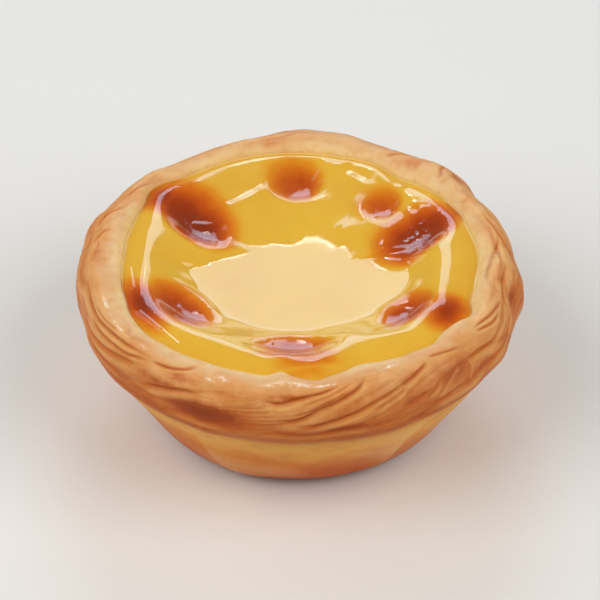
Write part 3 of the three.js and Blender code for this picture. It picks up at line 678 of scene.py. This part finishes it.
def crust_relief(angle, z, strands, wall, down):
    """How far the crust stands out of its plain section, and the values that its colours need."""
    shift = by_angle(CREST_SHIFTS, angle)
    lip, face, under = np.clip(down, 0, 1), np.clip(down - 1, 0, 1), np.clip(down - 2, 0, 1)
    down_rim = (LIP_LENGTH + shift) * lip + (FACE_LENGTH - shift) * face + UNDER_LENGTH * under
    on_rim = smoothstep(0.15, 1, down) * (1 - smoothstep(2.25, WALL_START, down))
    wrinkle_zone = smoothstep(0.1, 0.5, down) * (1 - smoothstep(1.05, 1.35, down))
    lump_zone = smoothstep(0.2, 0.9, down) * (1 - smoothstep(1.4, 1.8, down))
    vein_zone = smoothstep(0.3, 0.9, down) * (1 - smoothstep(1.5, 1.9, down))

    folds, crease, pale, taken = fold_relief(angle, down_rim)
    hollows, toast = hollow_relief(angle, down_rim)
    strand, strand_crease_shade, level = strand_relief(angle, down_rim, strand_shifts(angle[:, 0])[:, None])
    veins, vein_crease_shade = vein_relief(angle, down_rim)
    seams, seam_edge_highlights = wall_seams(angle, down)
    glaze_and_painted_glint = glaze_and_painted_glint_cover(angle, down_rim)
    swell = SWELL_HEIGHT * round_noise(angle, down_rim / 3.5, 9)
    swell = swell + FINE_SWELL_HEIGHT * round_noise(angle, down_rim / 1.6 + 30, 4)
    lumps = LUMP_HEIGHT * round_noise(angle, down_rim / 2.8 + 21, 5.5)
    wall_lumps = WALL_LUMP_HEIGHT * round_noise(angle + z, z / 7, 16)

    free = strands * (1 - 0.75 * taken)
    calm = 1 - 0.8 * taken
    out = on_rim * (folds + hollows + swell) + free * strand + calm * (vein_zone * veins + lump_zone * lumps)
    out = out + wrinkle_zone * wrinkle_relief(angle, down_rim) + GLAZE_HEIGHT * glaze_and_painted_glint
    out = out + wall * wall_lumps + seams
    # The creases' painted shade, from folds, strands and veins
    crease = np.maximum(crease, 0.7 * free * strand_crease_shade)
    crease = np.maximum(crease, 0.45 * calm * vein_zone * vein_crease_shade)
    a = np.radians(angle)
    looks = {
        "down": down,
        "crease": on_rim * crease,
        "toast": on_rim * toast,
        # Painted highlights: lit lower sides of folds and the higher edges of the wall's seams
        "pale": np.maximum(on_rim * pale, 0.4 * seam_edge_highlights),
        "relief": out,
        "glaze_and_painted_glint": glaze_and_painted_glint,
        "flow": np.stack([RIM_RADIUS * np.sin(a), RIM_RADIUS * np.cos(a), level], axis=2),
    }
    return out, looks


def place_on_custard(angle, radius):
    a = math.radians(angle)
    return radius * math.sin(a), -radius * math.cos(a)


def out_and_side(dx, dy, angle):
    """How far a step leads towards an angle, and to its side."""
    a = math.radians(angle)
    return dx * math.sin(a) - dy * math.cos(a), dx * math.cos(a) + dy * math.sin(a)


def dented(dent, x, y, z):
    """The surface after one dent: its bottom is a plane, its rim a soft wall. Also how burnt it is."""
    middle_x, middle_y = place_on_custard(dent["angle"], dent["radius"])
    dx, dy = x - middle_x, y - middle_y
    along, across = out_and_side(dx, dy, dent["angle"] + dent["turn"])
    reach = np.hypot(along / dent["along"], across / dent["across"])
    direction = along / (dent["along"] * np.maximum(reach, 0.001))
    inward, outward = np.maximum(0, -direction), np.maximum(0, direction)
    wave = np.cos(2 * math.pi * (reach - 1) * dent["along"] / DENT_FOLD_PITCH)
    lip = dent["lip"] * inward * bell(reach - 1.1, 0.25)
    lip += dent["folds"] * outward * wave * bell(reach - 1.3, 0.33)
    level = z[np.unravel_index(np.hypot(dx, dy).argmin(), z.shape)]
    bottom = level - dent["depth"] + dent["slope"] * out_and_side(dx, dy, dent["rise"])[0]
    inside = np.exp(-1.1 * reach ** dent["flat"])

    softly = out_and_side(dx, dy, dent["soft"])[0] / np.maximum(np.hypot(dx, dy), 0.01)
    stretched = np.where(along > 0, along / dent["outer"], along) / dent["along"]
    spread = np.hypot(stretched, across / dent["across"]) / dent["char"]
    burn = dent["burn"] * np.exp(-(spread ** (3.0 - 1.4 * softly)))
    burn *= 1 + 0.12 * np.sign(dent["folds"]) * wave * outward * smoothstep(0.9, 1.1, reach)
    return z + inside * (bottom - z) + lip, burn


def tint_cover(x, y):
    cover = np.zeros_like(x)
    for angle, radius, across, along, strength in TINTS:
        middle_x, middle_y = place_on_custard(angle, radius)
        out, side = out_and_side(x - middle_x, y - middle_y, angle)
        cover = np.maximum(cover, strength * bell(out, along) * bell(side, across))
    return cover


def ripple_relief(x, y):
    relief = np.zeros_like(x)
    for x0, y0, x1, y1, half_width, height in RIPPLES:
        length = math.hypot(x1 - x0, y1 - y0)
        ux, uy = (x1 - x0) / length, (y1 - y0) / length
        along = np.clip((x - x0) * ux + (y - y0) * uy, 0, length)
        relief += height * bell(np.hypot(x - x0 - along * ux, y - y0 - along * uy), half_width)
    bubbles = noise(x / BLISTER_CELL + 300, y / BLISTER_CELL + 300)
    for middle_x, middle_y, radius, height in BLISTERS:
        relief += height * bell(np.hypot(x - middle_x, y - middle_y), radius) * bubbles
    return relief


def ring_and_basin(angle, r, edge_r, edge_z):
    """The custard's top before its dents: a ring near its edge, and the sunken middle."""
    crest_r = edge_r * by_angle(RING_SHARES, angle)
    outside = edge_r - crest_r
    inside = crest_r - by_angle(BASIN_RADII, angle)
    crest_z = edge_z + by_angle(RING_LIFTS, angle) * outside
    rounding = np.maximum(by_angle(RING_ROUNDINGS, angle) * outside, LEAST_ROUNDING)
    inner_slope = (crest_z - BASIN_HEIGHT) / (np.hypot(inside, rounding) - rounding)
    outer_slope = (crest_z + MENISCUS - edge_z) / (np.hypot(outside, rounding) - rounding)
    fallen = np.hypot(r - crest_r, rounding) - rounding
    ring = crest_z - np.where(r < crest_r, inner_slope, outer_slope) * fallen
    floor = BASIN_HEIGHT + BASIN_CUP * (r / CUSTARD_RADIUS) ** 2
    z = (ring + floor + np.hypot(ring - floor, by_angle(BASIN_ROUNDINGS, angle))) / 2
    creep = MENISCUS * np.clip(0.4 + 0.9 * round_noise(angle, 77.5, 7), 0.1, 1)
    return z + creep * np.exp((r - edge_r) / MENISCUS_LENGTH)


def custard_height(angle, r, edge_r, edge_z):
    """The custard's top, and how burnt it is."""
    z = ring_and_basin(angle, r, edge_r, edge_z)
    x = r * np.sin(np.radians(angle))
    y = -r * np.cos(np.radians(angle))
    inside = 1 - smoothstep(0.88, 1, r / edge_r)
    burn = tint_cover(x, y)
    for dent in DENTS:
        lowered, browned = dented(dent, x, y, z)
        z = z + inside * (lowered - z)
        burn = np.maximum(burn, browned)
    wobble = WOBBLE_HEIGHT * noise(x / 9 + 50, y / 6 + 50)
    wobble = wobble + FINE_WOBBLE_HEIGHT * noise(x / 4 + 90, y / 2.6 + 90)
    off_edge = 1 - smoothstep(0.96, 0.99, r / edge_r)
    return z + inside * wobble + off_edge * ripple_relief(x, y), burn


def add_object(name, data):
    thing = bpy.data.objects.new(name, data)
    bpy.context.scene.collection.objects.link(thing)
    return thing


def round_mesh(name, angle, r, z, start_z, end_z, inward, values):
    """A closed mesh from sections round the Z axis, with a point on the axis at each end."""
    count, rows = r.shape
    a = np.radians(angle)[:, None]
    points = np.stack([r * np.sin(a), -r * np.cos(a), z], axis=2).reshape(-1, 3)
    points = np.concatenate([[[0, 0, start_z]], points, [[0, 0, end_z]]]) * MM
    index = 1 + np.arange(count * rows).reshape(count, rows)
    following = np.roll(index, -1, axis=0)
    corners = [index[:, :-1], index[:, 1:], following[:, 1:], following[:, :-1]]
    quads = np.stack(corners, axis=2).reshape(-1, 4)
    first = np.stack([np.zeros(count, int), index[:, 0], following[:, 0]], axis=1)
    last = np.stack([index[:, -1], np.full(count, len(points) - 1), following[:, -1]], axis=1)
    if inward:
        quads, first, last = quads[:, ::-1], first[:, ::-1], last[:, ::-1]
    mesh = bpy.data.meshes.new(name)
    mesh.from_pydata(points.tolist(), [], quads.tolist() + first.tolist() + last.tolist())
    mesh.polygons.foreach_set("use_smooth", np.ones(len(mesh.polygons), bool))
    for label, value in values.items():
        flat = value.reshape((-1,) + value.shape[2:])
        data = np.concatenate([value[:, :1].mean(axis=0), flat, value[:, -1:].mean(axis=0)])
        kind, field = ("FLOAT_VECTOR", "vector") if value.ndim == 3 else ("FLOAT", "value")
        mesh.attributes.new(label, kind, "POINT").data.foreach_set(field, data.ravel())
    mesh.update()
    return add_object(name, mesh)


def make_crust():
    angle = angles_round(CRUST_SEGMENTS)
    r, z, nr, nz, strands, wall, down = outer_section(angle)
    wide = np.broadcast_to(angle[:, None], r.shape)
    out, looks = crust_relief(wide, z, strands, wall, down)
    inner_r, inner_z = inner_section(angle)
    values = {}
    for label, value in looks.items():
        hidden = np.zeros(inner_r.shape + value.shape[2:])
        values[label] = np.concatenate([hidden, value], axis=1)
    r = np.concatenate([inner_r, r + out * nr], axis=1)
    z = np.concatenate([inner_z, z + out * nz], axis=1)
    return round_mesh("crust", angle, r, z, FLOOR_THICKNESS, 0, False, values)


def make_custard():
    angle = angles_round(CUSTARD_SEGMENTS)
    edge_r, edge_z = (value[:, None] for value in custard_edge(angle))
    share = np.concatenate([np.linspace(*row) for row in CUSTARD_ROWS])
    share = np.broadcast_to(share, (len(angle), len(share)))
    wide = np.broadcast_to(angle[:, None], share.shape)
    r = edge_r * share
    z, burn = custard_height(wide, np.minimum(r, edge_r), edge_r, edge_z)
    z = np.where(share > 1, z + SKIRT_RISE, z)
    inner_r, inner_z = inner_section(angle)
    values = {
        "burn": np.concatenate([np.zeros(inner_r.shape), burn], axis=1),
        "share": np.concatenate([np.ones(inner_r.shape), share], axis=1),
    }
    r = np.concatenate([inner_r - GAP_BESIDE, r], axis=1)
    z = np.concatenate([inner_z + GAP_UNDER, z], axis=1)
    start_z = FLOOR_THICKNESS + GAP_UNDER
    return round_mesh("custard_filling", angle, r, z, start_z, z[:, -1].mean(), True, values)


def linear(code):
    """A colour like '#e6b04a' as linear red, green, blue and alpha."""
    parts = [int(code[k : k + 2], 16) / 255 for k in (1, 3, 5)]
    return tuple(c / 12.92 if c <= 0.04045 else ((c + 0.055) / 1.055) ** 2.4 for c in parts) + (1.0,)


class Tree:
    """Short calls for a material's nodes."""

    def __init__(self, name):
        self.material = bpy.data.materials.new(name)
        self.material.use_nodes = True
        self.nodes = self.material.node_tree.nodes
        self.links = self.material.node_tree.links
        self.shader = self.nodes["Principled BSDF"]

    def put(self, socket, value):
        if isinstance(value, bpy.types.NodeSocket):
            self.links.new(value, socket)
        else:
            socket.default_value = value

    def add(self, kind, settings=None, **inputs):
        node = self.nodes.new("ShaderNode" + kind)
        for key, value in (settings or {}).items():
            setattr(node, key, value)
        for key, value in inputs.items():
            self.put(node.inputs[key.replace("_", " ")], value)
        return node

    def attribute(self, name, output="Fac"):
        return self.add("Attribute", {"attribute_name": name}).outputs[output]

    def maths(self, operation, a, b=0.5, c=0.5):
        node = self.add("Math", {"operation": operation})
        for socket, value in zip(node.inputs, (a, b, c)):
            self.put(socket, value)
        return node.outputs[0]

    def times(self, a, b):
        return self.maths("MULTIPLY", a, b)

    def scaled(self, vector, scale):
        node = self.add("VectorMath", {"operation": "MULTIPLY"})
        self.put(node.inputs[0], vector)
        node.inputs[1].default_value = scale
        return node.outputs[0]

    def texture(self, vector, scale, detail=3, roughness=0.6):
        node = self.add("TexNoise", Vector=vector, Scale=scale, Detail=detail, Roughness=roughness)
        return node.outputs["Fac"]

    def ramp(self, factor, stops, interpolation="LINEAR"):
        node = self.add("ValToRGB")
        self.put(node.inputs[0], factor)
        ramp = node.color_ramp
        ramp.interpolation = interpolation
        while len(ramp.elements) < len(stops):
            ramp.elements.new(0.5)
        for element, (place, colour) in zip(ramp.elements, stops):
            element.position = place
            element.color = linear(colour) if isinstance(colour, str) else (colour, colour, colour, 1.0)
        return node.outputs["Color"]

    def mix(self, factor, a, b):
        node = self.add("Mix", {"data_type": "RGBA"})
        self.put(node.inputs["Factor"], factor)
        self.put(node.inputs[6], linear(a) if isinstance(a, str) else a)
        self.put(node.inputs[7], linear(b) if isinstance(b, str) else b)
        return node.outputs[2]

    def tint(self, colour, cover, strength, code):
        """The colour with another one over it, as strongly as said where the cover is 1."""
        return self.mix(self.times(cover, strength), colour, code)

    def bump(self, height, strength, distance, normal=None):
        node = self.add("Bump", Height=height, Strength=strength, Distance=distance)
        if normal is not None:
            self.put(node.inputs["Normal"], normal)
        return node.outputs["Normal"]

    def finish(self, **inputs):
        for key, value in inputs.items():
            self.put(self.shader.inputs[key.replace("_", " ")], value)
        return self.material


def pastry_colour(tree, place, flow, down, on_face, mottle):
    """Pale on the rim and darker down the wall, partly painted light, with streaks along the layers,
    blotches, flecks, painted shade in creases and painted highlights.
    """
    wander = tree.texture(place, 120)
    zone = tree.maths("MULTIPLY_ADD", wander, 0.1, tree.maths("ADD", down, -0.05))
    # Paler on the lit top, darker in the shaded underside and foot: partly painted light
    colour = tree.ramp(zone, PASTRY_COLOURS_AND_LIGHT)
    streak = tree.texture(tree.scaled(flow, (0.16, 0.16, 0.9)), 1, 4)
    darker = tree.times(tree.ramp(streak, [(0.45, 0), (0.68, 1)]), on_face)
    colour = tree.tint(colour, darker, 0.5, "#a84c18")
    paler = tree.times(tree.ramp(streak, [(0.3, 1), (0.44, 0)]), on_face)
    colour = tree.tint(colour, paler, 0.4, "#dca05a")
    # Painted highlight: the more a place stands out of its section, the paler
    painted_ridge_highlight = tree.ramp(tree.maths("ADD", tree.attribute("relief"), 0.5), [(0.45, 0), (0.95, 1)])
    colour = tree.tint(colour, painted_ridge_highlight, 0.55, "#efc488")
    blotch = tree.ramp(tree.texture(place, 95, 3, 0.55), [(0.47, 0), (0.64, 1)])
    on_top = tree.ramp(down, [(0.05, 0.4), (0.15, 1), (0.34, 1), (0.44, 0)])
    colour = tree.tint(colour, tree.times(blotch, on_top), 0.5, "#d88e4a")
    colour = tree.tint(colour, tree.ramp(mottle, [(0.5, 0), (0.72, 1)]), 0.3, "#cc8038")
    mid_face = tree.ramp(down, [(0.24, 0), (0.32, 1), (0.4, 0.8), (0.46, 0)])
    flecks = tree.times(tree.ramp(mottle, [(0.34, 1), (0.48, 0)]), mid_face)
    colour = tree.tint(colour, flecks, 0.35, "#e6b478")
    uneven = tree.maths("SUBTRACT", mottle, 0.5)
    browned = tree.maths("MULTIPLY_ADD", uneven, 0.5, tree.attribute("toast"))
    cover = tree.ramp(browned, [(0.0, 0), (0.65, 0.9)], "EASE")
    colour = tree.mix(cover, colour, tree.ramp(browned, TOAST_COLOURS))
    # Painted highlight: lit lower sides of folds and higher edges of seams paler
    colour = tree.tint(colour, tree.attribute("pale"), 0.5, "#e6b26a")
    # Painted shade: the creases of folds, strands and veins darker
    return tree.tint(colour, tree.attribute("crease"), 0.7, "#b85214")


def pastry_material():
    tree = Tree("baked_pastry")
    place = tree.add("TexCoord").outputs["Object"]
    flow = tree.attribute("flow", "Vector")
    # A quarter of the attribute, so that the whole crust lies between 0 and 1
    down = tree.times(tree.attribute("down"), 0.25)
    on_face = tree.ramp(down, [(0.26, 0), (0.36, 1), (0.5, 1), (0.56, 0.1)])
    mottle = tree.texture(place, 420, 4, 0.65)
    speckle = tree.texture(place, 900)
    # Glazed specks: a glossy coat, and pale glints painted into the colour, a painted highlight
    glaze_and_painted_glint = tree.times(tree.attribute("glaze_and_painted_glint"), tree.ramp(speckle, [(0.44, 0), (0.56, 1)]))
    colour = pastry_colour(tree, place, flow, down, on_face, mottle)
    fine = tree.texture(tree.scaled(flow, (0.3, 0.3, 2.2)), 1)
    threads = tree.bump(tree.times(fine, on_face), 0.55, 0.0004)
    crest = tree.ramp(down, [(0.12, 0), (0.2, 1), (0.33, 1), (0.42, 0)])
    return tree.finish(
        # Painted highlight: glints tinted almost white into the base colour
        Base_Color=tree.tint(colour, glaze_and_painted_glint, 0.8, "#fff0d8"),
        Roughness=tree.add("MapRange", Value=mottle, To_Min=0.36, To_Max=0.58).outputs[0],
        Specular_IOR_Level=0.2,
        Normal=tree.bump(tree.texture(place, 1500), 0.22, 0.0001, threads),
        Coat_Weight=tree.times(crest, glaze_and_painted_glint),
        Coat_Roughness=0.06,
        Coat_Normal=tree.bump(speckle, 0.5, 0.0004),
        Subsurface_Weight=0.25,
        Subsurface_Radius=(1.0, 0.42, 0.16),
        Subsurface_Scale=0.002,
    )


def custard_colour(tree, place, burn, share):
    cloud = tree.texture(place, 60, 3, 0.5)
    colour = tree.mix(tree.ramp(cloud, [(0.35, 0), (0.7, 1)]), "#e4b53a", "#dda936")
    colour = tree.tint(colour, tree.ramp(share, [(0.86, 0), (1.0, 1)]), 0.4, "#dda02c")
    # Painted light: the custard's outermost ring is lightened against the shade where it meets the crust
    painted_edge_light = tree.ramp(share, [(0.982, 0), (0.996, 1)])
    colour = tree.tint(colour, painted_edge_light, 0.8, "#fbd07c")
    ragged = tree.maths("MULTIPLY_ADD", tree.texture(place, 260, 4), 0.3, -0.15)
    heat = tree.maths("ADD", burn, tree.times(ragged, tree.ramp(burn, [(0.0, 0), (0.3, 1)])))
    return tree.mix(tree.ramp(heat, [(0.04, 0), (0.2, 1)]), colour, tree.ramp(heat, SCORCH_COLOURS))


def custard_material():
    tree = Tree("baked_custard")
    place = tree.add("TexCoord").outputs["Object"]
    burn = tree.attribute("burn")
    crisp = tree.times(tree.texture(place, 700), tree.ramp(burn, [(0.45, 0), (0.8, 1)]))
    skin = tree.texture(tree.scaled(place, (1, 3.2, 1)), 650)
    return tree.finish(
        Base_Color=custard_colour(tree, place, burn, tree.attribute("share")),
        Roughness=0.45,
        Specular_IOR_Level=0.02,
        Coat_Weight=1.0,
        Coat_Roughness=0.045,
        Coat_Normal=tree.bump(tree.maths("MULTIPLY_ADD", skin, 0.18, crisp), 0.25, 0.0003),
        Subsurface_Weight=0.2,
        Subsurface_Radius=(1.0, 0.5, 0.12),
        Subsurface_Scale=0.003,
    )


def make_floor():
    mesh = bpy.data.meshes.new("studio_floor")
    corners = [(x * FLOOR_HALF, y * FLOOR_HALF, 0) for x, y in ((-1, -1), (1, -1), (1, 1), (-1, 1))]
    mesh.from_pydata(corners, [], [(0, 1, 2, 3)])
    mesh.materials.append(Tree("pale_floor").finish(Base_Color=FLOOR_COLOUR, Roughness=0.7))
    floor = add_object("studio_floor", mesh)


def aim(thing, target):
    thing.rotation_euler = (Vector(target) - thing.location).to_track_quat("-Z", "Y").to_euler()


def from_angles(azimuth, elevation, distance, target):
    """A place round a target, in degrees and metres. Azimuth 0 is +Y, behind the tart."""
    a, e = math.radians(azimuth), math.radians(elevation)
    direction = Vector((math.sin(a) * math.cos(e), math.cos(a) * math.cos(e), math.sin(e)))
    return Vector(target) + distance * direction


def soft_light(name, azimuth, elevation, distance, size, radiance, colour):
    lamp = bpy.data.lights.new(name, "AREA")
    lamp.shape = "RECTANGLE"
    lamp.size, lamp.size_y = size
    lamp.energy = radiance * WATTS_PER_RADIANCE * size[0] * size[1]
    lamp.color = colour
    light = add_object(name, lamp)
    light.location = from_angles(azimuth, elevation, distance, LIGHT_TARGET)
    light.visible_camera = False
    aim(light, LIGHT_TARGET)


def light_studio():
    for row in STUDIO_LIGHTS:
        soft_light(*row)
    world = bpy.data.worlds.new("studio")
    world.use_nodes = True
    background = world.node_tree.nodes["Background"]
    background.inputs["Color"].default_value = WORLD_COLOUR
    background.inputs["Strength"].default_value = WORLD_STRENGTH
    bpy.context.scene.world = world
    bpy.context.scene.view_settings.view_transform = "Standard"


def make_camera():
    lens = bpy.data.cameras.new("camera")
    lens.lens = LENS_LENGTH
    lens.sensor_width = SENSOR_WIDTH
    camera = add_object("camera", lens)
    camera.location = from_angles(180, CAMERA_ELEVATION, CAMERA_DISTANCE, CAMERA_TARGET)
    aim(camera, CAMERA_TARGET)
    bpy.context.scene.camera = camera


make_camera()
make_floor()
light_studio()

crust = make_crust()
crust.data.materials.append(pastry_material())
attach(crust, "root")
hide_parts("pastry_shell")

filling = make_custard()
filling.data.materials.append(custard_material())
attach(filling, "root")
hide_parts("custard")
